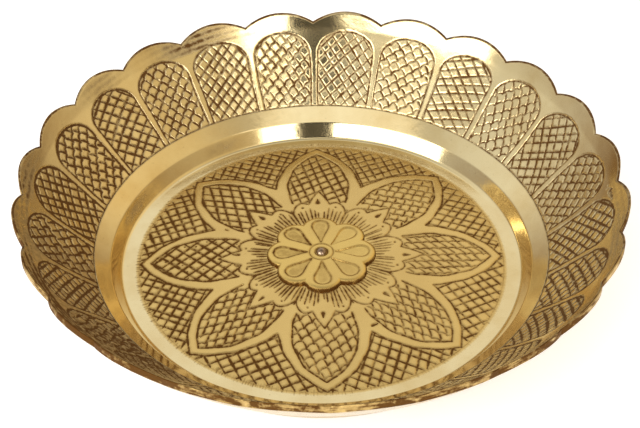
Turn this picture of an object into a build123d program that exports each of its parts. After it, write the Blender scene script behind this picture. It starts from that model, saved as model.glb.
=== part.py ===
from build123d import *
import math
import os

os.makedirs("parts", exist_ok=True)

# A round brass dish with a scalloped rim, an engraved floor and wall, and a cast rosette
# held to the middle of the floor by one domed rivet. All sizes are in millimetres.
# The dish stands on the flat ring under its floor: that ring is z = 0, and the axis of
# the dish is the Z axis. One petal, one rib and one rim notch point along +Y.

# ---- driving dimensions: the shell ----
scallop_count = 24
petal_count = 8

floor_thickness = 2.0
rim_thickness = 2.0

floor_radius = 63.3          # edge of the engraved disc
floor_crown = 2.7            # how far the middle of the floor stands above its edge
band_radius = 68.6           # end of the flat polished band round the engraved disc
step_top_radius = 72.0       # top of the steep polished step
step_top_height = 7.1
wall_foot_radius = 77.3      # the shoulder ends and the flared wall starts
wall_foot_height = 11.3
rim_radius = 101.8           # tips of the scallops
rim_height = 37.9
wall_bulge = 0.6             # how far the wall bows outward from a straight cone
scallop_radius = 27.0

rest_inner_radius = 61.0     # flat ring under the floor that the dish stands on
rest_outer_radius = 71.9
under_step_radius = 75.2
under_step_height = 5.4
under_wall_radius = 79.8
under_wall_height = 9.9
cove_radius = 1.6
shoulder_round = 1.8

# ---- driving dimensions: the engraved outlines ----
groove_width = 0.8
groove_depth = 0.3
panel_fill = 0.88            # share of each 15 degree pitch that its wall panel covers
panel_height = 28.3          # from the foot of the wall to the top of the arch
arch_height = 8.3
petal_tip_radius = 62.2
petal_widest_radius = 40.0   # neighbouring petals meet here
petal_root_radius = 27.0
petal_border = 3.1
petal_side_bow = 4.0

# ---- driving dimensions: rosette and rivet ----
rosette_lobe_circle = 12.0   # centres of the eight round lobes
rosette_lobe_radius = 6.8
rosette_height = 1.7         # above the seat it is let into
rosette_edge_round = 1.1
seat_depth = 0.35
teardrop_small_radius = 0.7
teardrop_small_at = 6.2
teardrop_large_radius = 3.4
teardrop_large_at = 13.4
teardrop_depth = 0.5
centre_ring_radius = 4.1
centre_ring_width = 0.5

rivet_head_radius = 1.95
rivet_head_height = 1.3
rivet_shank_radius = 1.1
rivet_tail_radius = 1.9
rivet_tail_height = 0.7
rivet_seat_radius = 3.0      # flat spot under the floor for the tail
hole_clearance = 0.05

# ---- values that follow from them ----
crown_height = floor_thickness + floor_crown
underside_height = crown_height - floor_thickness
seat_height = crown_height - seat_depth
rosette_top = seat_height + rosette_height
wall_run = rim_radius - wall_foot_radius
wall_rise = rim_height - wall_foot_height
wall_slope = math.atan2(wall_rise, wall_run)
trim_allowance = 3.5         # the wall is made this much too long, then cut to the scallops
scallop_circle = rim_radius - scallop_radius
pitch_angle = 360 / scallop_count
petal_angle = 360 / petal_count


# ---- shared outlines, drawn into the sketch that is open ----
def rosette_outline(clearance):
    """Eight round lobes joined into one flower shape."""
    Circle(rosette_lobe_circle)
    with PolarLocations(rosette_lobe_circle, petal_count):
        Circle(rosette_lobe_radius + clearance)


# ---- dish blank: the turned shell, before any cutting ----
with BuildPart() as blank:
    with BuildSketch(Plane.XZ):
        with BuildLine():
            top_floor = TangentArc(
                (0, crown_height), (floor_radius, floor_thickness), tangent=(1, 0)
            )
            top_step = FilletPolyline(
                top_floor @ 1,
                (band_radius, floor_thickness),
                (step_top_radius, step_top_height),
                (wall_foot_radius, wall_foot_height),
                radius=[cove_radius, shoulder_round],
            )
            top_wall = SagittaArc(top_step @ 1, (rim_radius, rim_height), -wall_bulge)
            lip_direction = top_wall % 1
            lip = Line(top_wall @ 1, top_wall @ 1 + lip_direction * trim_allowance)
            lip_outward = Vector(lip_direction.Y, -lip_direction.X)
            lip_end = Line(lip @ 1, lip @ 1 + lip_outward * rim_thickness)
            under_lip = Line(lip_end @ 1, top_wall @ 1 + lip_outward * rim_thickness)
            under_wall = SagittaArc(
                under_lip @ 1, (under_wall_radius, under_wall_height), wall_bulge
            )
            under_step = FilletPolyline(
                under_wall @ 1,
                (under_step_radius, under_step_height),
                (rest_outer_radius, 0),
                (rest_inner_radius, 0),
                radius=[cove_radius, shoulder_round],
            )
            under_floor = Spline(
                under_step @ 1,
                (rivet_seat_radius, underside_height),
                tangents=[(-1, 0.06), (-1, 0)],
            )
            rivet_seat = Line(under_floor @ 1, (0, underside_height))
            Line(rivet_seat @ 1, top_floor @ 0)
        make_face()
    revolve(axis=Axis.Z)

# ---- engraved outlines: thin ribbons standing through the top surface ----
# The blank, lowered by the groove's depth, is taken away from them, so that what is left
# is as deep as the grooves all over.
panel_foot_half = wall_foot_radius * math.tan(math.radians(pitch_angle * panel_fill / 2))
panel_spring_radius = wall_foot_radius + (panel_height - arch_height) * math.cos(wall_slope)
panel_spring_half = panel_spring_radius * math.tan(math.radians(pitch_angle * panel_fill / 2))
panel_plane = Plane(
    origin=(wall_foot_radius, 0, wall_foot_height),
    x_dir=(0, 1, 0),
    z_dir=(-math.sin(wall_slope), 0, math.cos(wall_slope)),
)
ribbon_reach = 3.0

with BuildPart() as panel_ribbon:
    with BuildSketch(panel_plane):
        with BuildLine():
            foot = Line((panel_foot_half, 0), (-panel_foot_half, 0))
            left_side = Line(foot @ 1, (-panel_spring_half, panel_height - arch_height))
            EllipticalCenterArc(
                (0, panel_height - arch_height),
                panel_spring_half,
                arch_height,
                start_angle=0,
                arc_size=180,
            )
            Line((panel_spring_half, panel_height - arch_height), foot @ 0)
        make_face()
        offset(amount=-groove_width, mode=Mode.SUBTRACT)
    extrude(amount=ribbon_reach / 2, both=True)

half_petal = math.radians(petal_angle / 2)
junction = (petal_widest_radius * math.cos(half_petal), petal_widest_radius * math.sin(half_petal))
root = (petal_root_radius * math.cos(half_petal), petal_root_radius * math.sin(half_petal))

with BuildPart() as petal_ribbon:
    with BuildSketch(Plane.XY):
        with BuildLine():
            SagittaArc((petal_tip_radius, 0), junction, petal_side_bow)
            Line(junction, root)
            Line(root, (root[0], -root[1]))
            Line((root[0], -root[1]), (junction[0], -junction[1]))
            SagittaArc((junction[0], -junction[1]), (petal_tip_radius, 0), petal_side_bow)
        make_face()
        offset(amount=-groove_width / 2, kind=Kind.INTERSECTION, mode=Mode.REPLACE)
        offset(amount=-petal_border - groove_width, kind=Kind.INTERSECTION, mode=Mode.SUBTRACT)
    extrude(amount=crown_height + ribbon_reach)


with BuildPart() as engraving:
    with PolarLocations(0, scallop_count, start_angle=90 + pitch_angle / 2):
        add(panel_ribbon.part)
    with PolarLocations(0, petal_count):
        add(petal_ribbon.part)
    with BuildSketch(Plane.XY):
        Circle(wall_foot_radius + groove_width / 2)
        Circle(wall_foot_radius - groove_width / 2, mode=Mode.SUBTRACT)
        Circle(floor_radius + groove_width / 2)
        Circle(floor_radius - groove_width / 2, mode=Mode.SUBTRACT)
    extrude(amount=wall_foot_height + ribbon_reach)
    with Locations((0, 0, -groove_depth)):
        add(blank.part, mode=Mode.SUBTRACT)

# ---- dish: the blank, engraved, seated for the rosette and cut to the scallops ----
with BuildPart() as dish:
    add(blank.part)
    with BuildSketch(Plane.XY):
        Circle(scallop_circle)
        with PolarLocations(scallop_circle, scallop_count, start_angle=90 + pitch_angle / 2):
            Circle(scallop_radius)
    extrude(amount=rim_height + trim_allowance, mode=Mode.INTERSECT)
    add(engraving.part, mode=Mode.SUBTRACT)
    with BuildSketch(Plane.XY.offset(seat_height)):
        rosette_outline(hole_clearance)
    extrude(amount=rosette_height, mode=Mode.SUBTRACT)
    Cylinder(
        rivet_shank_radius + hole_clearance,
        crown_height,
        align=(Align.CENTER, Align.CENTER, Align.MIN),
        mode=Mode.SUBTRACT,
    )

# ---- rosette: a cast flower of eight round lobes, each with a sunk teardrop ----
with BuildSketch() as teardrop:
    with Locations((teardrop_small_at, 0)):
        Circle(teardrop_small_radius)
    with Locations((teardrop_large_at, 0)):
        Circle(teardrop_large_radius)
    make_hull()

with BuildPart() as rosette:
    with BuildSketch(Plane.XY.offset(seat_height)):
        rosette_outline(0)
    extrude(amount=rosette_height)
    top_edges = rosette.faces().sort_by(Axis.Z)[-1].edges()
    fillet(top_edges, rosette_edge_round)
    with BuildSketch(Plane.XY.offset(rosette_top)):
        with PolarLocations(0, petal_count):
            add(teardrop.sketch)
        Circle(centre_ring_radius + centre_ring_width / 2)
        Circle(centre_ring_radius - centre_ring_width / 2, mode=Mode.SUBTRACT)
    extrude(amount=-teardrop_depth, mode=Mode.SUBTRACT)
    Hole(rivet_shank_radius + hole_clearance)

# ---- centre rivet: domed head, shank through rosette and floor, closed tail ----
head_crown = rosette_top + rivet_head_height
tail_bottom = underside_height - rivet_tail_height
with BuildPart() as centre_rivet:
    with BuildSketch(Plane.XZ):
        with BuildLine():
            head = TangentArc((0, head_crown), (rivet_head_radius, rosette_top), tangent=(1, 0))
            shank = Polyline(
                head @ 1,
                (rivet_shank_radius, rosette_top),
                (rivet_shank_radius, underside_height),
                (rivet_tail_radius, underside_height),
            )
            TangentArc((0, tail_bottom), shank @ 1, tangent=(1, 0))
            Line((0, tail_bottom), head @ 0)
        make_face()
    revolve(axis=Axis.Z)

# ---- names and files ----
dish.part.label = "dish"
rosette.part.label = "rosette"
centre_rivet.part.label = "centre_rivet"
export_step(dish.part, "parts/dish.step")
export_step(rosette.part, "parts/rosette.step")
export_step(centre_rivet.part, "parts/centre_rivet.step")
print("size across the rim", dish.part.bounding_box().size)
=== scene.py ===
import bpy
import math
import numpy as np
from mathutils import Matrix, Vector


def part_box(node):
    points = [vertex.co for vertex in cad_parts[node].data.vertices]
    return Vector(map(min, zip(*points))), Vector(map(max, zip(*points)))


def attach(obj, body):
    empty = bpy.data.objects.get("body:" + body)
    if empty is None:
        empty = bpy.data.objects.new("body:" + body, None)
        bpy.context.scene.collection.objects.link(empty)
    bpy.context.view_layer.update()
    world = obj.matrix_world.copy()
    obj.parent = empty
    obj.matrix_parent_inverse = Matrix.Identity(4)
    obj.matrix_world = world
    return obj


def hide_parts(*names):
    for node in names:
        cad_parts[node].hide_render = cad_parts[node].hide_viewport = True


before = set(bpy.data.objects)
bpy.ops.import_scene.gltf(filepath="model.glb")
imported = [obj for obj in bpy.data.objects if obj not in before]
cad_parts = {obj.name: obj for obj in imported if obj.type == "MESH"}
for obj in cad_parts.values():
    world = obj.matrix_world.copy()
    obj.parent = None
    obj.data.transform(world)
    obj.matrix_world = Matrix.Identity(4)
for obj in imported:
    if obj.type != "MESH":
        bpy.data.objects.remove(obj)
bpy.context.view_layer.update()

# Sizes are in millimetres, in the same frame as the CAD: z = 0 is the ring that the tray
# stands on, +Z is its axis, and one petal, one rib and one rim notch point along +Y.
# They become metres when a mesh is made.
MM = 0.001
rng = np.random.default_rng(24)

SCALLOPS = 24
PETALS = 8
PITCH = math.tau / SCALLOPS

FLOOR_Z = 2.0
FLOOR_R = 63.3
CROWN = 2.7
BAND_R = 68.6
STEP_TOP = (72.0, 7.1)
WALL_FOOT = (77.3, 11.3)
RIM_TIP = (101.8, 37.9)
WALL_BULGE = 0.6
SCALLOP_R = 27.0
SCALLOP_CIRCLE = RIM_TIP[0] - SCALLOP_R
COVE_R = 1.6
SHOULDER_ROUND = 1.8
RIM_THICKNESS = 2.0
RIM_ROUND = 0.25

UNDER_FLOOR_Z = CROWN
REST_INNER_R = 61.0
REST_OUTER_R = 71.9
UNDER_STEP = (75.2, 5.4)
UNDER_WALL = (79.8, 9.9)

PANEL_FILL = 0.88
PANEL_HEIGHT = 28.3
ARCH_HEIGHT = 8.3
PANEL_SPRING = PANEL_HEIGHT - ARCH_HEIGHT
PETAL_JOIN_R = 40.4
GROUND_EDGE_R = 62.6

ROSETTE_LOBE_CIRCLE = 12.0
ROSETTE_LOBE_R = 6.8
ROSETTE_EDGE_FALL = 1.05

# How fine the meshes are, and the flat sheets that the engraving is cut into.
CELL = 0.1
ROSETTE_CELL = 0.06
FLOOR_COLUMNS = 1280
WALL_COLUMNS = SCALLOPS * 84
UNDERSIDE_COLUMNS = WALL_COLUMNS // 3
ROSETTE_COLUMNS = 720


# ---- curves and profiles ----
def rounded_path(corners, radii, step):
    """A polyline through the corners with each inner corner rounded, as points about one step apart."""
    points = [np.array(corners[0], float)]
    for before, corner, after, radius in zip(corners, corners[1:], corners[2:], radii):
        b, c, a = (np.array(p, float) for p in (before, corner, after))
        u = (b - c) / np.linalg.norm(b - c)
        v = (a - c) / np.linalg.norm(a - c)
        half = math.acos(np.clip(u @ v, -1, 1)) / 2
        reach = radius / math.tan(half)
        centre = c + (u + v) / np.linalg.norm(u + v) * radius / math.sin(half)
        start, end = c + u * reach - centre, c + v * reach - centre
        turn = math.pi - 2 * half
        for t in np.linspace(0, 1, 9):
            mix = (math.sin((1 - t) * turn) * start + math.sin(t * turn) * end) / math.sin(turn)
            points.append(centre + mix)
    points.append(np.array(corners[-1], float))
    return resample(np.array(points), step)


def distances(points):
    """The distance along a polyline of each of its points."""
    return np.concatenate([[0], np.cumsum(np.hypot(*np.diff(points, axis=0).T))])


def resample(points, step):
    """The same polyline with points evenly spaced, about one step apart."""
    lengths = distances(points)
    count = max(2, int(round(lengths[-1] / step)) + 1)
    at = np.linspace(0, lengths[-1], count)
    return np.stack([np.interp(at, lengths, points[:, k]) for k in (0, 1)], 1)


def bowed(start, end, bow, count):
    """A circular arc from start to end that bows to its right by bow, as count points."""
    s, e = np.array(start, float), np.array(end, float)
    chord = e - s
    length = np.linalg.norm(chord)
    side = np.array([chord[1], -chord[0]]) / length
    radius = (length**2 / 4 + bow**2) / (2 * abs(bow))
    half = math.asin(length / 2 / radius)
    angles = np.linspace(-half, half, count)
    along = np.sin(angles) * radius
    out = (np.cos(angles) - math.cos(half)) * radius * np.sign(bow)
    return (s + e) / 2 + along[:, None] * chord / length + out[:, None] * side


def smooth_curve(points, step):
    """A Catmull-Rom curve through the points."""
    p = np.array(points, float)
    p = np.concatenate([2 * p[:1] - p[1:2], p, 2 * p[-1:] - p[-2:-1]])
    t = np.linspace(0, 1, 16, endpoint=False)[:, None]
    parts = []
    for a, b, c, d in zip(p, p[1:], p[2:], p[3:]):
        square = 2 * a - 5 * b + 4 * c - d
        cube = 3 * b - a - 3 * c + d
        parts.append(0.5 * (2 * b + (c - a) * t + square * t**2 + cube * t**3))
    parts.append(p[-2][None])
    return resample(np.concatenate(parts), step)


def turned(points, angle):
    """Points turned about the origin by an angle in radians."""
    c, s = math.cos(angle), math.sin(angle)
    p = np.asarray(points, float)
    return np.stack([p[..., 0] * c - p[..., 1] * s, p[..., 0] * s + p[..., 1] * c], -1)


def wrap(angle):
    """The same direction, as an angle from -pi to pi."""
    return (angle + math.pi) % math.tau - math.pi


def ring_angles(count):
    """The directions of a ring of count points that starts at +Y."""
    return math.pi / 2 + np.arange(count) * math.tau / count


def petal_axis(k):
    """The direction of petal k, clockwise from +Y. Half numbers give the grounds between."""
    return math.pi / 2 - k * math.tau / PETALS


def from_polar(r, angle, z):
    """Points at a radius, a direction and a height."""
    return np.stack([r * np.cos(angle), r * np.sin(angle), z], -1)


def hill(off, width, height):
    """A smooth hill, by distance off its middle."""
    return height * np.exp(-((off / width) ** 2))


crown_radius = (FLOOR_R**2 + CROWN**2) / (2 * CROWN)


def floor_height(r):
    """Height of the plain floor at radius r: a low crown out to the engraved edge, then flat."""
    inner = np.minimum(r, FLOOR_R)
    return FLOOR_Z + CROWN - (crown_radius - np.sqrt(crown_radius**2 - inner**2))


# The wall's line from its foot to the scallop tips, by distance up the slope.
wall_line = bowed(WALL_FOOT, RIM_TIP, WALL_BULGE, 400)
wall_lengths = distances(wall_line)
WALL_LENGTH = wall_lengths[-1]
wall_slope = math.atan2(RIM_TIP[1] - WALL_FOOT[1], RIM_TIP[0] - WALL_FOOT[0])
RIM_DROP = RIM_THICKNESS / math.cos(wall_slope)  # height of the cut edge


def wall_at(s):
    """Radius and height of the wall at distance s up its slope."""
    return np.interp(s, wall_lengths, wall_line[:, 0]), np.interp(s, wall_lengths, wall_line[:, 1])


def wall_s(r):
    """Distance up the slope at radius r."""
    return np.interp(r, wall_line[:, 0], wall_lengths)


def wall_normal(s):
    """The direction away from the metal, inward and up, as radial and vertical parts."""
    r0, z0 = wall_at(np.maximum(s - 0.5, 0))
    r1, z1 = wall_at(np.minimum(s + 0.5, WALL_LENGTH))
    length = np.hypot(r1 - r0, z1 - z0)
    return -(z1 - z0) / length, (r1 - r0) / length


def rim_radius(angle):
    """Radius of the scalloped outline. The notches are at multiples of the pitch from +Y."""
    off_notch = (angle - math.pi / 2 + PITCH / 2) % PITCH - PITCH / 2
    off = PITCH / 2 - np.abs(off_notch)
    return SCALLOP_CIRCLE * np.cos(off) + np.sqrt(SCALLOP_R**2 - (SCALLOP_CIRCLE * np.sin(off)) ** 2)


# ---- engraving: strokes cut into a sheet laid flat ----
class Plate:
    """A flat sheet of metal as a grid: how deep it is cut in millimetres, and how much patina and painted
    shade lie there.

    On the wall, x is the angle times a middle radius, and stretch is each row's true width over that."""

    def __init__(self, low, high, cell, stretch=None, unevenness=0.22):
        self.low, self.cell, self.unevenness = low, cell, unevenness
        self.columns = int(math.ceil((high[0] - low[0]) / cell)) + 1
        self.rows = int(math.ceil((high[1] - low[1]) / cell)) + 1
        self.depth = np.zeros((self.rows, self.columns), np.float32)
        self.patina = np.zeros((self.rows, self.columns), np.float32)
        y = low[1] + np.arange(self.rows) * cell
        self.stretch = np.ones(self.rows) if stretch is None else stretch(y)

    def cut(self, points, width, depth, patina, ends=1.0):
        """Cuts one stroke. width may be one number or one for each point. ends thins its two ends."""
        p = np.asarray(points, float)
        n = len(p)
        wide = np.broadcast_to(np.asarray(width, float), (n,)).copy()
        if ends < 1:
            place = np.linspace(0, 1, n)
            wide *= ends + (1 - ends) * np.minimum(1, 4 * np.minimum(place, 1 - place))
        wide *= 1 + self.unevenness * rng.uniform(-1, 0.8, n)
        strength = 1 + self.unevenness * rng.uniform(-1.3, 0.5, n)
        for k in range(n - 1):
            self.segment(p[k], p[k + 1], wide[k], wide[k + 1], depth * strength[k], patina * strength[k])

    def segment(self, a, b, wide_a, wide_b, depth, patina):
        """Cuts one straight piece of a stroke, with a rounded bottom and patina along its middle."""
        reach = max(wide_a, wide_b) / 2
        j0 = int((min(a[1], b[1]) - reach - self.low[1]) / self.cell)
        j1 = int((max(a[1], b[1]) + reach - self.low[1]) / self.cell) + 2
        j0, j1 = max(j0, 0), min(j1, self.rows)
        if j1 <= j0:
            return
        stretch = self.stretch[min(max((j0 + j1) // 2, 0), self.rows - 1)]
        i0 = int((min(a[0], b[0]) - reach / stretch - self.low[0]) / self.cell)
        i1 = int((max(a[0], b[0]) + reach / stretch - self.low[0]) / self.cell) + 2
        i0, i1 = max(i0, 0), min(i1, self.columns)
        if i1 <= i0:
            return
        x = ((self.low[0] + np.arange(i0, i1) * self.cell) - a[0]) * stretch
        y = (self.low[1] + np.arange(j0, j1) * self.cell) - a[1]
        dx, dy = (b[0] - a[0]) * stretch, b[1] - a[1]
        square = max(dx * dx + dy * dy, 1e-9)
        t = np.clip((x[None, :] * dx + y[:, None] * dy) / square, 0, 1)
        away = (x[None, :] - t * dx) ** 2 + (y[:, None] - t * dy) ** 2
        half = (wide_a + (wide_b - wide_a) * t) / 2
        form = np.clip(1 - away / np.maximum(half, 1e-6) ** 2, 0, 1)
        window = (slice(j0, j1), slice(i0, i1))
        self.depth[window] = np.maximum(self.depth[window], depth * form)
        self.patina[window] = np.maximum(self.patina[window], patina * np.clip(2.6 * form - 0.75, 0, 1))

    def soil(self, reach, share, relief=0.0):
        """Spreads a thin haze of patina round every stroke, and leaves the metal between strokes uneven."""
        haze = self.patina.copy()
        n = max(1, int(round(reach / self.cell)))
        for _ in range(2):
            for axis in (0, 1):
                total = sum(np.roll(haze, k, axis) for k in range(-n, n + 1))
                haze = total / (2 * n + 1)
        self.patina = np.maximum(self.patina, share * haze)
        spacing = 14
        knots = rng.normal(0, 0.5, (self.rows // spacing + 2, self.columns // spacing + 2))
        v, u = np.arange(self.rows) / spacing, np.arange(self.columns) / spacing
        j, i = v.astype(int), u.astype(int)
        fv, fu = v - j, u - i
        fv, fu = (fv * fv * (3 - 2 * fv))[:, None], (fu * fu * (3 - 2 * fu))[None, :]
        rows = knots[j] * (1 - fv) + knots[j + 1] * fv
        uneven = rows[:, i] * (1 - fu) + rows[:, i + 1] * fu
        self.depth += (relief * uneven * np.clip((haze - 0.15) * 6, 0, 1)).astype(np.float32)

    def read(self, grid, x, y):
        """The grid's value at each x and y, between its cells."""
        u = np.clip((x - self.low[0]) / self.cell, 0, self.columns - 1.001)
        v = np.clip((y - self.low[1]) / self.cell, 0, self.rows - 1.001)
        i, j = u.astype(int), v.astype(int)
        fu, fv = u - i, v - j
        low = grid[j, i] * (1 - fu) + grid[j, i + 1] * fu
        high = grid[j + 1, i] * (1 - fu) + grid[j + 1, i + 1] * fu
        return low * (1 - fv) + high * fv


def inside_polygon(outline, x, y):
    """True where a point lies inside the closed outline."""
    inside = np.zeros(np.shape(x), bool)
    ax, ay = outline[:, 0], outline[:, 1]
    bx, by = np.roll(ax, -1), np.roll(ay, -1)
    for x0, y0, x1, y1 in zip(ax, ay, bx, by):
        if y0 != y1:
            crosses = ((y0 > y) != (y1 > y)) & (x < (x1 - x0) * (y - y0) / (y1 - y0) + x0)
            inside ^= crosses
    return inside


def runs(mask):
    """The (start, end) of each stretch of True values."""
    edges = np.flatnonzero(np.diff(np.concatenate([[False], mask, [False]]).astype(int)))
    return zip(edges[::2], edges[1::2])


def as_laid(points):
    """Leaves points where they are."""
    return points


def hatch(plate, region, angle, pitch, weight, place=as_laid):
    """Cuts one family of roughly parallel strokes across a region.

    region is (centre, reach, inside) and weight is (width, depth, patina).
    place puts points of the region onto the plate."""
    centre, reach, inside = region
    wide, deep, dark = weight
    along = np.array([math.cos(angle), math.sin(angle)])
    across = np.array([-along[1], along[0]])
    t = np.arange(-reach, reach, 0.6)
    count = int(reach / pitch) + 1
    bend = rng.normal(0, 0.35)
    for k in range(-count, count + 1):
        offset = (k + rng.normal(0, 0.06)) * pitch
        sway = 0.16 * np.sin(t / rng.uniform(5, 9) + rng.uniform(0, math.tau))
        side = offset + rng.normal(0, 0.012) * t + sway + bend * (t / reach) ** 2
        line = centre + t[:, None] * along + side[:, None] * across
        shown = inside(line[:, 0], line[:, 1])
        thick = wide * rng.uniform(0.88, 1.12) * (1 + 0.14 * np.sin(t / 1.7 + rng.uniform(0, math.tau)))
        for a, b in runs(shown):
            if b - a >= 3:
                tone = dark * rng.uniform(0.88, 1.08)
                plate.cut(place(line[a:b]), thick[a:b], deep, tone, ends=0.6)


def lattice(plate, region, directions, pitch, weight):
    """Cuts families of strokes that cross, at directions in degrees."""
    for degrees in directions:
        hatch(plate, region, math.radians(degrees), pitch, weight)


def scales(plate, region, angle, lean, pitch, weight, place=as_laid):
    """Cuts rounded cells: wavy lines a pitch apart, and short curved strokes from each to the next.

    The lines run at angle and the short strokes at lean, a little out of step from row to row."""
    centre, reach, inside = region
    wide, deep, dark = weight
    along = np.array([math.cos(angle), math.sin(angle)])
    across = np.array([-along[1], along[0]])
    skew = 1 / math.tan(lean - angle)
    swell = 0.085 * pitch
    t = np.arange(-reach, reach, 0.45)
    count = int(reach / pitch) + 1
    for k in range(-count, count + 1):
        phase = skew * k + rng.normal(0, 0.16)
        level = (k + rng.normal(0, 0.05)) * pitch
        wave = swell * (2 * np.abs(np.sin(math.pi * (t / pitch - phase))) - 1)
        side = level + wave + 0.12 * np.sin(t / 6 + rng.uniform(0, 6))
        line = centre + t[:, None] * along + side[:, None] * across
        thick = wide * (1 + 0.16 * np.sin(t / 1.3 + rng.uniform(0, math.tau)))
        for a, b in runs(inside(line[:, 0], line[:, 1])):
            if b - a >= 3:
                tone = dark * rng.uniform(0.85, 1.05)
                plate.cut(place(line[a:b]), thick[a:b] * 0.92, deep, tone, ends=0.6)
        for n in range(-count, count + 1):
            start = (n + phase + rng.normal(0, 0.05)) * pitch
            rise = np.linspace(-0.08, 0.94, 6)
            bow = 0.09 * pitch * np.sin(math.pi * rise)
            step = centre + np.outer(start + skew * rise * pitch + bow, along)
            step = step + np.outer(level - swell + rise * pitch, across)
            kept = inside(step[:, 0], step[:, 1])
            if kept.sum() >= 4:
                step_wide = wide * rng.uniform(0.85, 1.2)
                tone = dark * rng.uniform(0.8, 1.1)
                plate.cut(place(step[kept]), step_wide, deep, tone, ends=0.55)


# ---- the engraved floor ----
def heaviness(x, y):
    """How heavily a place is cut and darkened: most on the -X side, least on the +X side."""
    return float(0.5 - 0.5 * x / np.hypot(x, y))


def mirrored(points):
    """The points with their mirror image across the x axis added, as one line."""
    flipped = points[::-1] * np.array([1, -1])
    return np.concatenate([flipped, points[1:]])


# The petal that points along +X: its edge, and the hatched field inside its border.
half_edge = [(62.4, 0), (58.3, 5.4), (52.7, 10.2), (45.5, 13.7), (37.4, 15.5)]
half_field = [(58.6, 0), (54.8, 4.4), (50.2, 7.9), (41.4, 10.7), (33.6, 10.4), (28.6, 9.3)]
petal_edge = mirrored(smooth_curve(half_edge, 0.8))
petal_field = mirrored(smooth_curve(half_field, 0.8))


def fringe_edge(off):
    """Outer radius of the smooth fringe round the rosette, by angle off a petal's axis in degrees."""
    lobes = 29.0 - 0.05 * (np.abs(off) - 12.5) ** 2
    leaf = 35.4 - 0.95 * np.abs(off)
    return np.maximum(lobes, leaf)


def off_axis(x, y):
    """Angle off the nearest petal's axis, in degrees."""
    return (np.degrees(np.arctan2(y, x)) + 22.5) % 45 - 22.5


def petal_region(angle):
    """The hatched field of the petal in a direction, as (centre, reach, inside)."""
    shrunk = turned(petal_field, angle) * 0.995

    def inside(x, y):
        clear = np.hypot(x, y) > fringe_edge(off_axis(x, y)) + 0.3
        return inside_polygon(shrunk, x, y) & clear

    return turned((43.0, 0), angle), 20.0, inside


def ground_region(angle):
    """The ground between two petals, in a direction, as (centre, reach, inside)."""
    left = turned(petal_edge, angle + math.pi / PETALS)
    right = turned(petal_edge, angle - math.pi / PETALS)

    def inside(x, y):
        r = np.hypot(x, y)
        off = np.abs(wrap(np.arctan2(y, x) - angle))
        near = (off < math.pi / PETALS) & (r > PETAL_JOIN_R) & (r < GROUND_EDGE_R)
        return near & ~inside_polygon(left, x, y) & ~inside_polygon(right, x, y)

    return turned((52.0, 0), angle), 25.0, inside


def floor_weight(angle):
    """Stroke width, depth and patina for a region of the floor."""
    heavy = heaviness(math.cos(angle), math.sin(angle))
    return 0.98 + 0.22 * heavy, 0.2 + 0.14 * heavy, 0.86 + 0.2 * heavy


def engrave_floor():
    """The plate of the engraved disc, seen from above."""
    edge = FLOOR_R + 3
    plate = Plate((-edge, -edge), (edge, edge), CELL)

    # Clockwise from +Y: L for a lattice or S for rounded scales, the two directions of the strokes in
    # degrees, and their pitch. The grounds between the petals are all lattices.
    petals = [
        ("L", -75, 30, 3.3),
        ("S", -15, 70, 3.2),
        ("S", 4, -50, 3.2),
        ("S", -26, -82, 3.3),
        ("S", 42, -70, 3.5),
        ("S", 14, 72, 3.2),
        ("L", -44, 44, 3.4),
        ("L", -78, -15, 3.3),
    ]
    grounds = [(106, 24, 3.0), (60, -20, 3.2), (-57, 27, 3.3), (74, -27, 3.3)]
    grounds += [(-66, 24, 3.4), (66, -27, 3.1), (-73, 18, 3.2), (74, -22, 2.9)]
    for k, (kind, first, second, pitch) in enumerate(petals):
        axis = petal_axis(k)
        wide, deep, dark = floor_weight(axis)
        region = petal_region(axis)
        if kind == "L":
            lattice(plate, region, (first, second), pitch, (wide, deep, dark))
        else:
            light = (wide * 0.88, deep * 0.85, dark * 0.88)
            scales(plate, region, math.radians(first), math.radians(second), pitch, light)
    for k, (first, second, pitch) in enumerate(grounds):
        axis = petal_axis(k + 0.5)
        wide, deep, dark = floor_weight(axis)
        lattice(plate, ground_region(axis), (first, second), pitch, (wide * 0.98, deep, dark))

    for k in range(PETALS):
        axis = petal_axis(k)
        wide, deep, dark = floor_weight(axis)
        for outline in (petal_edge, petal_field):
            wobble = 0.14 * np.sin(np.arange(len(outline)) * 0.5 + rng.uniform(0, 6))
            line = turned(outline + wobble[:, None] * [0, 1], axis)
            plate.cut(line, wide * 0.85, deep, dark)
    cut_fringe(plate)
    cut_dots(plate)

    # Three lone nicks.
    plate.cut([(15.7, -34.6), (17.4, -33.7)], [1.1, 0.7], 0.3, 1.0)
    plate.cut([(-33.2, 15.4), (-32.6, 15.0)], 0.9, 0.3, 1.0)
    plate.cut([(28.6, 26.2), (29.2, 25.8)], 0.8, 0.25, 0.9)

    cut_edge_ticks(plate)
    plate.soil(0.6, 0.6, 0.05)
    return plate


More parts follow.
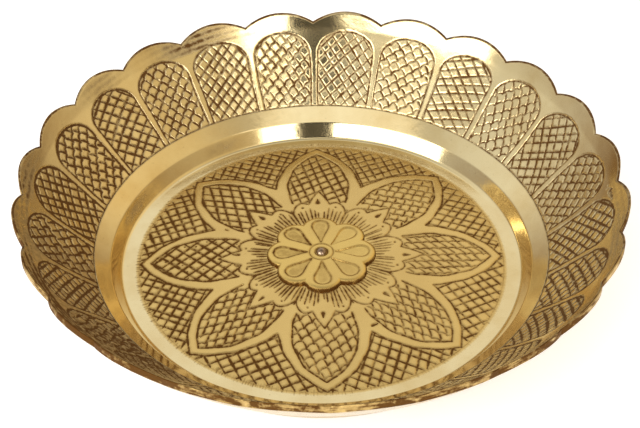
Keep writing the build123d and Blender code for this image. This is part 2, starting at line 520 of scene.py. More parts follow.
def cut_fringe(plate):
    """The radial strokes round the rosette, and the lobes, leaves and nicks outside them.

    The strokes start near the rosette's edge, and are longest half-way from a petal to a gap."""
    strokes = 12 * PETALS
    for k in range(strokes):
        angle = math.tau * (k + rng.normal(0, 0.12)) / strokes
        x, y = math.cos(angle), math.sin(angle)
        heavy = heaviness(x, y - 0.5)
        off = abs(off_axis(x, y))
        start = 18.6 if off < 10 else 17.4
        end = 25.4 - 0.02 * (off - 12) ** 2 + rng.normal(0, 0.5)
        line = resample(np.array([[start * x, start * y], [end * x, end * y]]), 0.7)
        plate.cut(line, 0.62 + 0.25 * heavy, 0.14 + 0.12 * heavy, 0.7 + 0.3 * heavy, ends=0.5)
    off = np.linspace(-22.5, 22.5, 91)
    radius = fringe_edge(off)
    angles = np.radians(off)
    line = np.stack([radius * np.cos(angles), radius * np.sin(angles)], 1)
    for k in range(PETALS):
        axis = petal_axis(k)
        wide, deep, dark = floor_weight(axis)
        plate.cut(turned(line, axis), wide * 0.72, deep * 0.8, dark * 0.85)
        for side in (-1, 1):
            lobe = turned([(26.4, 0)], axis + math.radians(12.5) * side + rng.normal(0, 0.02))[0]
            plate.cut([lobe, lobe + [0.05, 0]], 0.95, 0.3, 1.0)
        nick = turned([(28.6, 0), (30.6, 0)], axis + rng.normal(0, 0.02))
        plate.cut(nick, [1.9, 0.5], 0.3, 1.0)
        gap = turned([(19.5, 0), (26.0, 0)], axis + math.pi / PETALS)
        plate.cut(resample(gap, 0.7), wide * 0.9, deep, dark * 0.9, ends=0.6)


def cut_dots(plate):
    """Small punched dots, no two close together, in the petal on the -X side."""
    most, spacing = 70, 2.3
    inside = petal_region(math.pi)[2]
    x = rng.uniform(-58, -27, 220)
    y = rng.uniform(-11, 11, 220)
    kept = []
    for a, b in zip(x, y):
        near = any(math.hypot(a - p, b - q) < spacing for p, q in kept)
        if not near and inside(np.array([a]), np.array([b]))[0]:
            kept.append((a, b))
    for a, b in kept[:most]:
        plate.cut([(a, b), (a + 0.05, b)], 0.7, 0.25, 1.2)


def cut_edge_ticks(plate):
    """Short fine radial ticks across the edge of the hatched disc, and the fine turned line there."""
    around = np.linspace(0, math.tau, 800)
    circle = np.stack([np.cos(around), np.sin(around)], 1)
    plate.cut(circle * (FLOOR_R - 0.4), 0.4, 0.07, 0.45)
    count = 460
    for k in range(count):
        angle = math.tau * (k + rng.normal(0, 0.3)) / count
        x, y = math.cos(angle), math.sin(angle)
        heavy = heaviness(x, y)
        start = FLOOR_R - rng.uniform(0.8, 1.8)
        end = FLOOR_R + rng.uniform(0.1, 0.9)
        tone = (0.25 + 0.4 * heavy) * rng.uniform(0.5, 1.1)
        plate.cut([(start * x, start * y), (end * x, end * y)], 0.32, 0.07, tone)


# ---- the engraved wall ----
MIDDLE_R = 90.0  # x on the wall's flat plate is the angle times this


def panel_half(s):
    """Half the width of a wall panel at distance s up the slope."""
    half = wall_at(s)[0] * math.tan(PITCH * PANEL_FILL / 2)
    above = np.clip((s - PANEL_SPRING) / ARCH_HEIGHT, 0, 1)
    return half * np.sqrt(1 - above**2)


def panel_inside(x, s):
    """True inside a panel's outline, at distance x off its axis and s up the slope."""
    return (s > 0.3) & (s < PANEL_HEIGHT) & (np.abs(x) < panel_half(s) - 0.1)


def engrave_wall():
    """The plate of the wall, laid flat."""
    half_round = math.pi * MIDDLE_R
    plate = Plate(
        (-half_round, -1.0), (half_round, WALL_LENGTH + 1), CELL, lambda s: wall_at(s)[0] / MIDDLE_R
    )
    for j in range(SCALLOPS):
        engrave_panel(plate, j, wrap(math.pi / 2 - (j + 0.5) * PITCH))

    # A cluster of nicks at the top of the rib that points along +X.
    for _ in range(44):
        x, up = rng.normal(-0.03, 0.016) * MIDDLE_R, rng.normal(28.0, 0.55)
        tail = rng.normal(0, 0.25, 2)
        plate.cut([(x, up), (x + tail[0], up + tail[1])], 0.5, 0.2, 0.9)

    around = np.linspace(-half_round, half_round, 1600)
    foot = np.stack([around, np.full_like(around, 0.1)], 1)
    plate.cut(foot, 0.62, 0.16, 0.72)
    plate.soil(0.6, 0.5, 0.04)
    return plate


def engrave_panel(plate, j, angle):
    """One arched panel: its outline, and a lattice on even panels or rounded scales on odd ones."""

    def place(points):
        """Puts points of the panel on the wall's plate."""
        p = np.asarray(points, float)
        x = angle * MIDDLE_R - p[:, 0] * MIDDLE_R / wall_at(p[:, 1])[0]
        return np.stack([x, p[:, 1]], 1)

    # Strokes are cut thinner, shallower and paler on the back-right panels, and heavier on the front-left.
    # The paler patina there is painted highlight, where the soft box's glare washes the panels.
    heavy = min(max(0.8 - 0.75 * math.cos(angle - 1.2), 0.12), 1.0)
    wide = 0.88 + 0.5 * heavy
    deep = 0.2 + 0.15 * heavy
    dark = 0.85 + 0.4 * heavy
    region = (np.array([0.0, 14.0]), 19.0, panel_inside)
    if j % 2:
        rows = math.radians(rng.normal(41, 4))
        lean = math.radians(rng.normal(-59, 4))
        scales(plate, region, rows, lean, rng.uniform(3.2, 3.5), (wide * 0.95, deep, dark), place)
    else:
        first = math.radians(rng.normal(-46, 6))
        second = math.radians(rng.normal(36, 7))
        hatch(plate, region, first, rng.uniform(3.0, 3.3), (wide, deep, dark), place)
        hatch(plate, region, second, rng.uniform(3.0, 3.3), (wide, deep, dark), place)
    arch = PANEL_SPRING + ARCH_HEIGHT * np.sin(np.linspace(0, math.pi / 2, 22))[1:]
    up = np.minimum(np.concatenate([np.linspace(0, PANEL_SPRING, 26), arch]), PANEL_HEIGHT)
    wobble = 0.15 * np.sin(up / rng.uniform(3, 5) + rng.uniform(0, 6))
    right = np.stack([panel_half(up) + wobble * (up < 27), up], 1)
    left = right[::-1] * [-1, 1]
    plate.cut(place(np.concatenate([right, left[1:]])), wide * 0.9, deep, dark)


# ---- meshes ----
def new_object(name, data):
    """An object in the scene."""
    made = bpy.data.objects.new(name, data)
    bpy.context.scene.collection.objects.link(made)
    return made


def add_mesh(name, points, faces, material, patina, polish, stands_for):
    """A smooth-shaded piece from points in millimetres, riding on the root body.

    patina and polish are values per point, which the brass material reads. patina holds real patina and
    also painted shade and painted reflections."""
    mesh = bpy.data.meshes.new(name)
    points = np.asarray(points, np.float32) * MM
    sizes = np.concatenate([np.full(len(f), f.shape[1]) for f in faces])
    loops = np.concatenate([f.ravel() for f in faces]).astype(np.int32)
    mesh.vertices.add(len(points))
    mesh.vertices.foreach_set("co", points.ravel())
    mesh.loops.add(len(loops))
    mesh.loops.foreach_set("vertex_index", loops)
    mesh.polygons.add(len(sizes))
    starts = np.concatenate([[0], np.cumsum(sizes)[:-1]]).astype(np.int32)
    mesh.polygons.foreach_set("loop_start", starts)
    for key, values in (("patina", patina), ("polish", polish)):
        layer = mesh.attributes.new(key, "FLOAT", "POINT")
        layer.data.foreach_set("value", np.asarray(values, np.float32))
    mesh.update(calc_edges=True)
    mesh.validate()
    mesh.shade_smooth()
    mesh.materials.append(material)
    piece = new_object(name, mesh)
    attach(piece, "root")
    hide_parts(stands_for)


def ring_faces(first, second, count):
    """Quads between two rings of the same number of points, given the index each ring starts at."""
    k = np.arange(count)
    n = (k + 1) % count
    return np.stack([first + k, second + k, second + n, first + n], 1)


def stacked_faces(rows, columns):
    """Quads between rings of the same number of points, kept one after the other."""
    return [ring_faces(k * columns, (k + 1) * columns, columns) for k in range(rows - 1)]


def joining_faces(first, second, count):
    """Triangles between a ring of count points and an outer ring of twice as many."""
    k = np.arange(count)
    n = (k + 1) % count
    m = (2 * k + 2) % (2 * count)
    a = np.stack([first + k, second + 2 * k, second + 2 * k + 1], 1)
    b = np.stack([first + k, second + 2 * k + 1, first + n], 1)
    c = np.stack([first + n, second + 2 * k + 1, second + m], 1)
    return np.concatenate([a, b, c])


def smooth_noise(count, spacing):
    """Noise round a ring of count points, spread over about spacing points, from about -1 to 1."""
    knots = rng.normal(0, 0.6, max(3, count // spacing))
    at = np.arange(count) * len(knots) / count
    low = at.astype(int)
    part = at - low
    part = part * part * (3 - 2 * part)
    return knots[low] * (1 - part) + knots[(low + 1) % len(knots)] * part


def wobble_field(angle, s, strength):
    """A faint unevenness left by hand polishing, in millimetres."""
    return strength * (
        np.sin(5 * angle + 0.21 * s + 1.0)
        + 0.7 * np.sin(11 * angle - 0.33 * s + 2.0)
        + 0.5 * np.sin(23 * angle + 0.5 * s)
        + 0.35 * np.sin(41 * angle - 0.7 * s + 4.0)
    )


def build_floor(material):
    """The top of the dish from its centre to the foot of the wall."""
    plate = engrave_floor()
    plate_reach = FLOOR_R + 2.5
    step = rounded_path(
        [(64.6, FLOOR_Z), (BAND_R, FLOOR_Z), STEP_TOP, WALL_FOOT], [COVE_R, SHOULDER_ROUND], 0.3
    )
    # Rings further out have more points. The last two turn down under the foot of the wall, so that
    # no gap shows there.
    inner = [(r, FLOOR_COLUMNS // 16) for r in np.arange(1.5, 10, 1.0)]
    inner += [(r, FLOOR_COLUMNS // 2) for r in np.arange(10, 29.9, 0.3)]
    inner += [(r, FLOOR_COLUMNS) for r in np.arange(30.1, 64.5, 0.3)]
    rings = [(r, float(floor_height(r)), n) for r, n in inner]
    rings += [(r, z, FLOOR_COLUMNS) for r, z in step]
    for out, down in ((0.02, 0.03), (0.25, 0.4)):
        rings.append((WALL_FOOT[0] + out, WALL_FOOT[1] - down, FLOOR_COLUMNS))
    points, faces, start, last = [], [], 0, None
    for r, z, n in rings:
        angle = ring_angles(n)
        x, y = r * np.cos(angle), r * np.sin(angle)
        level = np.full(n, z)
        if r < plate_reach:
            level = level - plate.read(plate.depth, x, y)
        if FLOOR_R + 1 < r < WALL_FOOT[0] - 0.2:
            level = level + wobble_field(angle, r, 0.006)
        points.append(np.stack([x, y, level], 1))
        if last:
            before, many = last
            if many == n:
                faces.append(ring_faces(before, start, n))
            elif many * 2 == n:
                faces.append(joining_faces(before, start, many))
            else:
                share = n // many
                k = np.arange(n)
                inner_now = before + (k // share) % many
                inner_next = before + ((k + 1) // share) % many
                out_now, out_next = start + k, start + (k + 1) % n
                faces.append(np.stack([inner_now, out_now, out_next], 1))
                turn = inner_now != inner_next
                faces.append(np.stack([inner_now[turn], out_next[turn], inner_next[turn]], 1))
        last = (start, n)
        start += n
    points = np.concatenate(points)
    centre = len(points)
    points = np.concatenate([points, [[0, 0, float(floor_height(0))]]])
    first = rings[0][2]
    k = np.arange(first)
    faces.append(np.stack([np.full(first, centre), k, (k + 1) % first], 1))
    x, y = points[:, 0], points[:, 1]
    r = np.hypot(x, y)
    patina = np.where(r < plate_reach, plate.read(plate.patina, x, y), 0)
    foot = np.clip(1 - (WALL_FOOT[0] - r) / 0.35, 0, 1)
    patina = np.maximum(patina, 0.72 * foot)

    # Painted reflection: two brown patches on the step's -X side, standing in for the warm wall that the
    # step reflects there.
    around = np.arctan2(y, x)
    painted_step_reflection = hill(around - 2.75, 0.17, 0.45) + hill(around - 2.08, 0.1, 0.3)
    painted_step_reflection = painted_step_reflection * (0.85 + 0.15 * np.sin(60 * around + 3 * r))
    on_step = np.clip((r - BAND_R) / 1.5, 0, 1)
    patina = np.maximum(patina, painted_step_reflection * on_step * np.clip(STEP_TOP[0] - r, 0, 1))
    polish = np.clip((r - FLOOR_R) / 1.5, 0, 1)
    add_mesh("dish_floor", points, faces, material, patina, polish, "dish")


def wall_patina_and_painted_shade(plate, wrapped, s, rim_s):
    """The wall's patina in the cuts and its tarnish on the lip, with painted reflection on the lip and
    along its edge, and painted shade on one side.
    """
    cuts = plate.read(plate.patina, wrapped * MIDDLE_R, s)
    # Painted reflection: a dark brown line along the rim's rounded top edge, where it reflects the dark
    # horizon.
    painted_rim_reflection = (0.85 + 0.35 * smooth_noise(WALL_COLUMNS, 23)) * np.clip(1.9 - (rim_s - s) / 0.5, 0, 1)

    # Darker patches on the lip, partly tarnish and partly painted dark reflection: the direction of each,
    # its half-width and its strength.
    stains = [
        (2.02, 0.16, 0.9),
        (2.48, 0.1, 0.4),
        (3.05, 0.14, 0.45),
        (-2.65, 0.38, 1.15),
        (-0.3, 0.3, 0.35),
    ]
    lip_tarnish_and_painted_reflection = sum(hill(wrap(wrapped - centre), width, strength) for centre, width, strength in stains)
    streaks = 0.72 + 0.3 * smooth_noise(WALL_COLUMNS, 60) + 0.28 * np.sin(2.6 * s + 14 * wrapped)
    on_lip = np.clip((s - 26.5) / 2.5, 0, 1)
    lip_tarnish_and_painted_reflection = lip_tarnish_and_painted_reflection * streaks * on_lip * np.clip((rim_s - s) / 1.5, 0.45, 1)
    # Painted shade: the wall is darkened on its front-left side.
    painted_side_shade = hill(wrap(wrapped + 2.55), 0.55, 0.75)
    painted_side_shade = painted_side_shade * (0.85 + 0.3 * smooth_noise(WALL_COLUMNS, 60))
    return np.maximum(cuts, np.maximum(np.maximum(painted_rim_reflection, lip_tarnish_and_painted_reflection), painted_side_shade))


def cut_edge(rim, rim_s, rise):
    """The (radius, height) rows over the rim's corner, down its cut edge and round the lower corner."""
    centre_r, centre_z = rim - RIM_ROUND, wall_at(rim_s)[1] - RIM_ROUND * 0.55
    rows = []
    for turn in np.linspace(rise * 0.6, math.pi / 2, 6):
        rows.append((centre_r + RIM_ROUND * math.sin(turn), centre_z + RIM_ROUND * math.cos(turn)))
    bottom = wall_at(wall_s(rim))[1] - RIM_DROP
    high = rows[-1][1]
    for t in np.linspace(0, 1, 10)[1:-1]:
        rows.append((rim, high + (bottom + RIM_ROUND - high) * t))
    for turn in np.linspace(0, math.pi / 2, 4):
        rows.append((centre_r + RIM_ROUND * math.cos(turn), bottom + RIM_ROUND * (1 - math.sin(turn))))
    return rows


def build_wall(material):
    """The inside of the wall and the scalloped cut edge. Returns the edge's lowest row."""
    plate = engrave_wall()
    angle = ring_angles(WALL_COLUMNS)
    rim = rim_radius(angle)
    rim_s = wall_s(rim - RIM_ROUND)

    # Level rows as far up as the panels go, then rows that close up towards the scalloped edge.
    regular = np.arange(0, PANEL_HEIGHT + 0.01, 0.28)
    share = 1 - (1 - np.linspace(0, 1, 26)[1:]) ** 1.3
    rows = [np.full(WALL_COLUMNS, s) for s in regular]
    rows += [regular[-1] + (rim_s - regular[-1]) * t for t in share]
    s = np.array(rows)
    a = np.broadcast_to(angle, s.shape)
    r, z = wall_at(s)
    nr, nz = wall_normal(s)
    wrapped = wrap(a)
    sunk = plate.read(plate.depth, wrapped * MIDDLE_R, s)
    sunk = sunk - wobble_field(a, s, 0.02) * np.clip(s / 6, 0, 1)

    # Above a soft crease the lip stands a little steeper than the panels. Its edge is rounded over.
    above = np.clip(s - 28.2, 0, None)
    sunk = sunk - 0.055 * above**2 / (above + 0.8) + 0.3 * np.clip(1 - (rim_s - s) / 0.9, 0, 1) ** 2
    points = [from_polar(r - nr * sunk, a, z - nz * sunk).reshape(-1, 3)]
    patina = [wall_patina_and_painted_shade(plate, wrapped, s, rim_s).ravel()]
    polish = [(0.7 + 0.3 * np.clip((s - PANEL_HEIGHT) / 2, 0, 1)).ravel()]

    # The cut edge is mottled with patina, and rough but for its first and last rows.
    edge = cut_edge(rim, rim_s, math.atan2(nr.mean(), nz.mean()))
    spots = smooth_noise(WALL_COLUMNS, 34) + 0.5 * smooth_noise(WALL_COLUMNS, 11)
    mottle = smooth_noise(WALL_COLUMNS, 8)
    for row, (edge_r, edge_z) in enumerate(edge):
        inner = 0 < row < len(edge) - 1
        rough = 0.07 * smooth_noise(WALL_COLUMNS, 17) * inner
        points.append(from_polar(edge_r - np.abs(rough), angle, edge_z))
        down = row / len(edge)
        mottle = 0.7 * mottle + 0.5 * smooth_noise(WALL_COLUMNS, 8)
        patina.append(np.clip(0.85 + 0.45 * spots + 0.5 * mottle + 0.2 * (down - 0.5), 0.3, 1.1))
        polish.append(np.full(WALL_COLUMNS, 0.05))
    points, patina, polish = (np.concatenate(values) for values in (points, patina, polish))
    faces = stacked_faces(len(rows) + len(edge), WALL_COLUMNS)
    add_mesh("dish_wall", points, faces, material, patina, polish, "dish")
    return edge[-1]


def build_underside(material, rim_edge):
    """The outside of the wall, step and floor, starting from the cut edge's lowest row."""
    columns = UNDERSIDE_COLUMNS
    every = WALL_COLUMNS // columns
    angle = ring_angles(columns)
    edge_r, edge_z = rim_edge[0][::every], rim_edge[1][::every]
    outer_wall = bowed((RIM_TIP[0], RIM_TIP[1] - RIM_DROP), UNDER_WALL, -WALL_BULGE, 40)
    lengths = distances(outer_wall)
    order = np.argsort(outer_wall[:, 0])
    start_s = np.interp(edge_r, outer_wall[order, 0], lengths[order])
    rows = []
    for t in np.linspace(0, 1, 36):
        s = start_s + (lengths[-1] - start_s) * t
        r = np.interp(s, lengths, outer_wall[:, 0])
        z = np.interp(s, lengths, outer_wall[:, 1])
        blend_to_edge = max(0.0, 1 - t * 12)
        rows.append((r + (edge_r - r) * blend_to_edge, z + (edge_z - z) * blend_to_edge))
    lower = [UNDER_WALL, UNDER_STEP, (REST_OUTER_R, 0), (REST_INNER_R, 0)]
    lower = rounded_path(lower, [COVE_R, SHOULDER_ROUND], 0.5)[1:]
    inward = np.linspace(REST_INNER_R, 3, 36)[1:]
    share = 1 - (inward - 3) / (REST_INNER_R - 3)
    hollow = UNDER_FLOOR_Z * (1 - (1 - share) ** 2)
    rows += [(np.full(columns, r), np.full(columns, z)) for r, z in lower]
    rows += [(np.full(columns, r), np.full(columns, z)) for r, z in zip(inward, hollow)]
    points = [from_polar(r, angle, z) for r, z in rows]
    points = np.concatenate(points + [[[0, 0, UNDER_FLOOR_Z]]])
    faces = stacked_faces(len(rows), columns)
    k = np.arange(columns)
    last = (len(rows) - 1) * columns
    faces.append(np.stack([last + k, np.full(columns, len(points) - 1), last + (k + 1) % columns], 1))
    nothing = np.zeros(len(points))
    add_mesh(
        "dish_underside", points, faces, material, nothing + 0.1, nothing + 0.3, "dish"
    )


def engrave_rosette():
    """The rosette's plate: a sunk teardrop in each lobe, with painted shade round its edge and in its bowl,
    and two rings.
    """
    plate = Plate((-20, -20), (20, 20), ROSETTE_CELL, unevenness=0.0)
    drop = [(5.2, 0), (7.0, 0), (9.0, 0), (11.0, 0), (12.6, 0), (13.6, 0)]
    drop_width = np.array([0.6, 1.7, 3.2, 4.8, 6.0, 6.2])
    half = np.concatenate([[0], drop_width[:-1] / 2 - 0.15, [2.85, 1.9, 0]])
    along = np.array([4.9, 5.2, 7.0, 9.0, 11.0, 12.6, 14.4, 15.9, 16.5])
    teardrop = mirrored(smooth_curve(np.stack([along, half], 1), 0.4))
    for k in range(PETALS):
        axis = petal_axis(k)
        plate.cut(turned(drop, axis), drop_width, 0.9, 0.0)
        # Painted shade: a brown line round each teardrop and a haze in its bowl, with no cut under them,
        # browner on the -X side.
        heavy = heaviness(math.cos(axis), math.sin(axis) - 0.6)
        plate.cut(turned(teardrop, axis), 0.9, 0.0, 0.3 + 0.5 * heavy)
        plate.cut(turned(drop, axis), drop_width * 0.85, 0.0, 0.08 + 0.22 * heavy)
    flat_bottom = 0.36
    plate.depth = np.minimum(plate.depth, flat_bottom)
    around = np.linspace(0, math.tau, 90)
    ring = np.stack([np.cos(around), np.sin(around)], 1)
    for radius, tone in ((4.1, 0.6), (2.2, 0.95)):
        plate.cut(ring * radius, 0.5, 0.2, tone)
    plate.soil(0.45, 0.9)
    return plate


def build_rosette(material):
    """The eight-lobed boss with its engraving and rounded edges."""
    low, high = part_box("rosette")
    base, top = low.z / MM, high.z / MM
    plate = engrave_rosette()
    angle = ring_angles(ROSETTE_COLUMNS)
    off = (angle - math.pi / 2 + math.pi / PETALS) % (math.tau / PETALS) - math.pi / PETALS
    outline = ROSETTE_LOBE_CIRCLE * np.cos(off) + np.sqrt(
        ROSETTE_LOBE_R**2 - (ROSETTE_LOBE_CIRCLE * np.sin(off)) ** 2
    )
    shares = np.concatenate([np.linspace(0.065, 0.9, 76), np.linspace(0.9, 1, 22)[1:]])
    points, patina = [], []
    for share in shares:
        r = outline * share
        x, y = r * np.cos(angle), r * np.sin(angle)
        inset = outline - r
        over = np.clip(1 - inset / 2.0, 0, 1)
        fall = ROSETTE_EDGE_FALL * (1 - np.sqrt(1 - over**2))
        points.append(np.stack([x, y, top - fall - plate.read(plate.depth, x, y)], 1))
        # Dirt and painted shade: the rounded edge is browned, standing in for the shadow line round the
        # rosette's foot and damping its highlight.
        edge_dirt_and_shade = 0.95 * np.clip(1.2 - inset / 0.6, 0, 1)
        patina.append(np.maximum(plate.read(plate.patina, x, y), edge_dirt_and_shade))
    # The sides are fully brown: painted shade at the rosette's foot.
    for z in np.linspace(top - ROSETTE_EDGE_FALL, base, 4)[1:]:
        points.append(from_polar(outline, angle, np.full(ROSETTE_COLUMNS, z)))
        patina.append(np.full(ROSETTE_COLUMNS, 1.0))
    faces = stacked_faces(len(points), ROSETTE_COLUMNS)
    points, patina = np.concatenate(points), np.concatenate(patina)
    polish = np.zeros(len(patina))
    add_mesh("rosette_visual", points, faces, material, patina, polish, "rosette")


# ---- materials ----
def node(tree, kind, values=None, **settings):
    """A new shader node with input values by name and settings of its own."""
    made = tree.nodes.new(kind)
    for key, value in settings.items():
        setattr(made, key, value)
    for key, value in (values or {}).items():
        made.inputs[key].default_value = value
    return made


def feed(tree, socket, value):
    """Links a socket's output into an input, or sets the input to a plain value."""
    if isinstance(value, bpy.types.NodeSocket):
        tree.links.new(value, socket)
    else:
        socket.default_value = value


def mix_colour(tree, factor, first, second):
    """A mix of two colours. Inputs 6 and 7 and output 2 are the mix node's colours."""
    made = node(tree, "ShaderNodeMix", data_type="RGBA")
    for k, value in ((0, factor), (6, first), (7, second)):
        feed(tree, made.inputs[k], value)
    return made.outputs[2]


def ramp(tree, source, low, high, to_low, to_high):
    """The source, brought from the range low to high into the range to_low to to_high."""
    values = {"From Min": low, "From Max": high, "To Min": to_low, "To Max": to_high}
    made = node(tree, "ShaderNodeMapRange", values)
    tree.links.new(source, made.inputs["Value"])
    return made.outputs["Result"]


def calculate(tree, operation, first, second):
    """One step of arithmetic on two values or sockets."""
    made = node(tree, "ShaderNodeMath", operation=operation)
    for k, value in enumerate((first, second)):
        feed(tree, made.inputs[k], value)
    return made.outputs[0]


def noise(tree, place, **values):
    """The value of a noise texture at a place."""
    texture = node(tree, "ShaderNodeTexNoise", values)
    tree.links.new(place, texture.inputs["Vector"])
    return texture.outputs["Fac"]


def new_material(name):
    """A material with nodes, its node tree and its shader."""
    made = bpy.data.materials.new(name)
    made.use_nodes = True
    return made, made.node_tree, made.node_tree.nodes["Principled BSDF"]


def brass(name, aged, bright):
    """Brass: polished and paler where the polish attribute is high, aged and satin elsewhere.

    It is brown where the patina attribute is high, which holds real patina and also painted shade and
    painted reflections."""
    specks = (0.2, 0.12, 0.04, 1)
    stains = (0.66, 0.44, 0.15, 1)
    brown = (0.115, 0.044, 0.008, 1)
    made, tree, shader = new_material(name)
    place = node(tree, "ShaderNodeTexCoord").outputs["Object"]
    patina = node(tree, "ShaderNodeAttribute", attribute_name="patina").outputs["Fac"]
    polish = node(tree, "ShaderNodeAttribute", attribute_name="polish").outputs["Fac"]

    clouds = noise(tree, place, Scale=45.0, Detail=5.0, Roughness=0.6)
    grit = noise(tree, place, Scale=900.0, Detail=3.0, Roughness=0.6)
    scratch = noise(tree, place, Scale=260.0, Detail=4.0, Distortion=0.6)
    worn = noise(tree, place, Scale=420.0, Detail=3.0, Roughness=0.7)

    tone = mix_colour(tree, ramp(tree, polish, 0.0, 0.5, 0.0, 1.0), aged, bright)
    stained = ramp(tree, clouds, 0.38, 0.7, 0.0, 0.5)
    tone = mix_colour(tree, stained, tone, stains)
    speck = ramp(tree, grit, 0.66, 0.78, 0.0, 0.35)
    tone = mix_colour(tree, speck, tone, specks)
    uneven = ramp(tree, worn, 0.36, 0.6, 0.6, 1.2)
    patina_and_painted_shade = calculate(tree, "MULTIPLY", patina, uneven)
    patina_and_painted_shade = ramp(tree, patina_and_painted_shade, 0.03, 0.82, 0.0, 0.96)
    colour = mix_colour(tree, patina_and_painted_shade, tone, brown)
    tree.links.new(colour, shader.inputs["Base Color"])
    shader.inputs["Specular IOR Level"].default_value = 0.0

    satin = ramp(tree, clouds, 0.3, 0.7, 0.2, 0.27)
    shine = ramp(tree, clouds, 0.3, 0.7, 0.08, 0.13)
    blend = node(tree, "ShaderNodeMix", data_type="FLOAT")
    tree.links.new(polish, blend.inputs[0])
    tree.links.new(satin, blend.inputs[2])
    tree.links.new(shine, blend.inputs[3])
    rough = calculate(tree, "ADD", blend.outputs[0], ramp(tree, patina_and_painted_shade, 0.0, 1.0, 0.0, 0.5))
    tree.links.new(rough, shader.inputs["Roughness"])
    metal = ramp(tree, patina_and_painted_shade, 0.2, 0.9, 1.0, 0.6)
    tree.links.new(metal, shader.inputs["Metallic"])

    bump = node(tree, "ShaderNodeBump", {"Strength": 0.12, "Distance": 0.0002})
    tree.links.new(scratch, bump.inputs["Height"])
    fine = node(tree, "ShaderNodeBump", {"Strength": 0.06, "Distance": 0.0001})
    tree.links.new(grit, fine.inputs["Height"])
    tree.links.new(bump.outputs["Normal"], fine.inputs["Normal"])
    tree.links.new(fine.outputs["Normal"], shader.inputs["Normal"])
    return made


def rivet_metal():
    """A worn, greyer metal than the brass round it."""
    pale, dull = (0.46, 0.33, 0.22, 1), (0.2, 0.12, 0.07, 1)
    made, tree, shader = new_material("rivet_metal")
    place = node(tree, "ShaderNodeTexCoord").outputs["Object"]
    wear = noise(tree, place, Scale=700.0, Detail=4.0)
    colour = mix_colour(tree, ramp(tree, wear, 0.35, 0.7, 0.0, 1.0), pale, dull)
    tree.links.new(colour, shader.inputs["Base Color"])
    tree.links.new(ramp(tree, wear, 0.3, 0.7, 0.16, 0.32), shader.inputs["Roughness"])
    shader.inputs["Metallic"].default_value = 1.0
    return made


# ---- camera, floor and light ----
def aim(thing, target):
    """Turns a light or camera to face a point."""
    way = Vector(target) - thing.location
    thing.rotation_mode = "QUATERNION"
    thing.rotation_quaternion = way.to_track_quat("-Z", "Y")


def set_camera():
    """The photo's camera, found by fitting the tray's circles to the photo."""
    turn, elevation, roll_angle = (math.radians(d) for d in (-1.46, 40.285, -0.41))
    distance = 0.5829
    target = Matrix.Rotation(turn, 3, "Z") @ Vector((-0.4, 24.7, FLOOR_Z)) * MM
    back = Vector((0, -math.cos(elevation), math.sin(elevation)))
    back = Matrix.Rotation(turn, 3, "Z") @ back
    camera = new_object("camera", bpy.data.cameras.new("camera"))
    camera.data.lens = 91.82
    camera.data.sensor_width = 36
    camera.data.clip_start = 0.05
    camera.location = target + back * distance
    facing = (-back).to_track_quat("-Z", "Y").to_matrix()
    roll = Matrix.Rotation(roll_angle, 3, "Z")
    camera.rotation_mode = "QUATERNION"
    camera.rotation_quaternion = (facing @ roll).to_quaternion()
    bpy.context.scene.camera = camera


def area_light(name, where, target, size, power):
    """A white soft box that faces the target, and isn't itself seen."""
    data = bpy.data.lights.new(name, "AREA")
    data.shape = "RECTANGLE"
    data.size, data.size_y = size
    data.energy = power
    lamp = new_object(name, data)
    lamp.location = where
    aim(lamp, target)
    lamp.visible_camera = False


def set_sky():
    """A plain soft surround: dim and warm at the horizon, bright above it and warmer towards +X.

    It is dimmer overhead and towards -Y."""
    world = bpy.data.worlds.new("studio")
    bpy.context.scene.world = world
    world.use_nodes = True
    tree = world.node_tree
    way = node(tree, "ShaderNodeTexCoord").outputs["Generated"]
    split = node(tree, "ShaderNodeSeparateXYZ")
    tree.links.new(way, split.inputs[0])
    rising = ramp(tree, split.outputs["Z"], 0.04, 0.5, 0.0, 1.0)
    overhead = ramp(tree, split.outputs["Z"], 0.78, 0.99, 1.0, 0.6)
    front = ramp(tree, split.outputs["Y"], -0.5, 0.5, 0.72, 1.0)
    strength = calculate(tree, "MULTIPLY", front, overhead)
    side = ramp(tree, split.outputs["X"], 0.1, 0.6, 0.0, 1.0)
    upper = mix_colour(tree, side, (0.88, 0.88, 0.88, 1), (0.94, 0.79, 0.53, 1))
    shade = mix_colour(tree, rising, (0.2, 0.115, 0.05, 1), upper)
    tree.links.new(shade, tree.nodes["Background"].inputs["Color"])
    tree.links.new(strength, tree.nodes["Background"].inputs["Strength"])


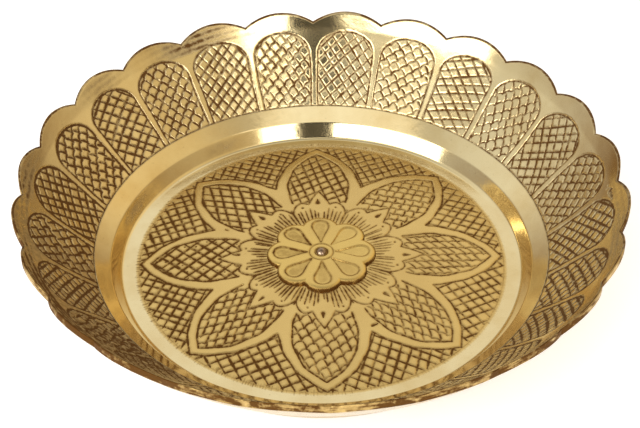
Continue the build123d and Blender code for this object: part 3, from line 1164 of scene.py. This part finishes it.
def sheet(name, size, material_name, inputs):
    """A flat rectangle of the stage, with a plain material that has these shader inputs."""
    mesh = bpy.data.meshes.new(name)
    x, y = size[0] / 2, size[1] / 2
    mesh.from_pydata([(-x, -y, 0), (x, -y, 0), (x, y, 0), (-x, y, 0)], [], [(0, 1, 2, 3)])
    piece = new_object(name, mesh)
    paint, _, shader = new_material(material_name)
    for key, value in inputs.items():
        shader.inputs[key].default_value = value
    mesh.materials.append(paint)
    return piece


def dark_card(name, where, target, size):
    """A flat dark card that faces the target, seen only in reflections."""
    piece = sheet(name, size, name, {"Base Color": (0.02, 0.018, 0.015, 1), "Roughness": 0.8})
    piece.location = where
    aim(piece, target)
    piece.visible_camera = False
    piece.visible_diffuse = False
    piece.visible_shadow = False


def set_stage():
    """A pale floor, three soft boxes and two dark cards."""
    pale = {"Base Color": (0.95, 0.95, 0.95, 1), "Roughness": 0.9}
    glow = {"Emission Color": (1, 1, 1, 1), "Emission Strength": 0.4}
    sheet("studio_floor", (8.0, 8.0), "pale_floor", {**pale, **glow})

    middle = (0, 0, 0.02)
    area_light("softbox_left", (-0.5, -0.61, 0.491), middle, (1.0, 0.5), 5.6)
    area_light("softbox_right", (0.291, -0.685, 0.541), middle, (0.28, 0.6), 1.6)
    area_light("softbox_top", (-0.08, -0.52, 1.2), middle, (1.7, 0.4), 1.3)
    dark_card("dark_card", (0.01, -0.54, 0.44), middle, (0.2, 0.3))
    dark_card("upper_card", (0.0, -0.44, 0.57), middle, (0.2, 0.24))
    bpy.context.scene.view_settings.view_transform = "Standard"


set_camera()
dish_brass = brass("dish_brass", (0.78, 0.54, 0.19, 1), (0.89, 0.73, 0.40, 1))
# Painted shade: the outside is a darker, greyer copy of the brass, standing in for the dimmer light under
# the dish.
shaded_outside_brass = brass("shaded_outside_brass", (0.56, 0.47, 0.31, 1), (0.60, 0.51, 0.35, 1))
rosette_brass = brass("rosette_brass", (0.80, 0.55, 0.165, 1), (0.89, 0.73, 0.40, 1))
build_floor(dish_brass)
rim_edge = build_wall(dish_brass)
build_underside(shaded_outside_brass, rim_edge)
build_rosette(rosette_brass)
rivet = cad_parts["centre_rivet"]
rivet.data.materials.clear()
rivet.data.materials.append(rivet_metal())
set_sky()
set_stage()
